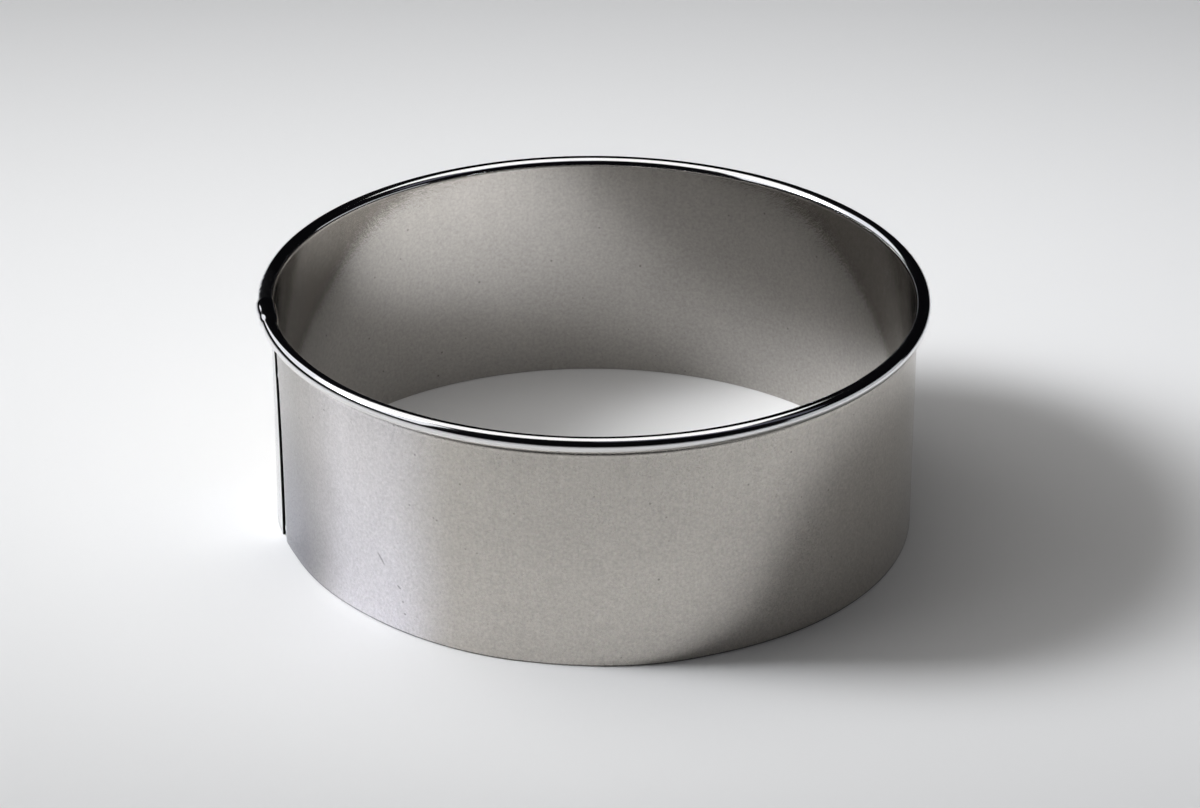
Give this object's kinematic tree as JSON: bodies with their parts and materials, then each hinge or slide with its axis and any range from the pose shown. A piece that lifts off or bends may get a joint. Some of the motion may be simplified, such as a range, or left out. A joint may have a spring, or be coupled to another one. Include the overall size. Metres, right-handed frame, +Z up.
{
  "type": "biscuit cutter",
  "caption": "Plain round biscuit cutter: an open tinned ring with a bare cutting edge, a wired rolled rim and a lapped, soldered side seam.",
  "frame": {"origin": "on the ring's axis, in the plane of the bottom cutting edge", "axes": "+Z up along the ring's axis towards the rolled rim; the side seam is near -X, turned 11 degrees towards -Y"},
  "size_m": [0.1044, 0.104, 0.0389],
  "materials": {
    "tinned_sheet": "satin tin plate, bright on the rolled rim",
    "wire": "drawn steel wire",
    "solder": "soft solder"
  },
  "bodies": {
    "root": {"band": "tinned_sheet", "rim_wire": "wire", "seam_solder": "solder"}
  },
  "joints": []
}
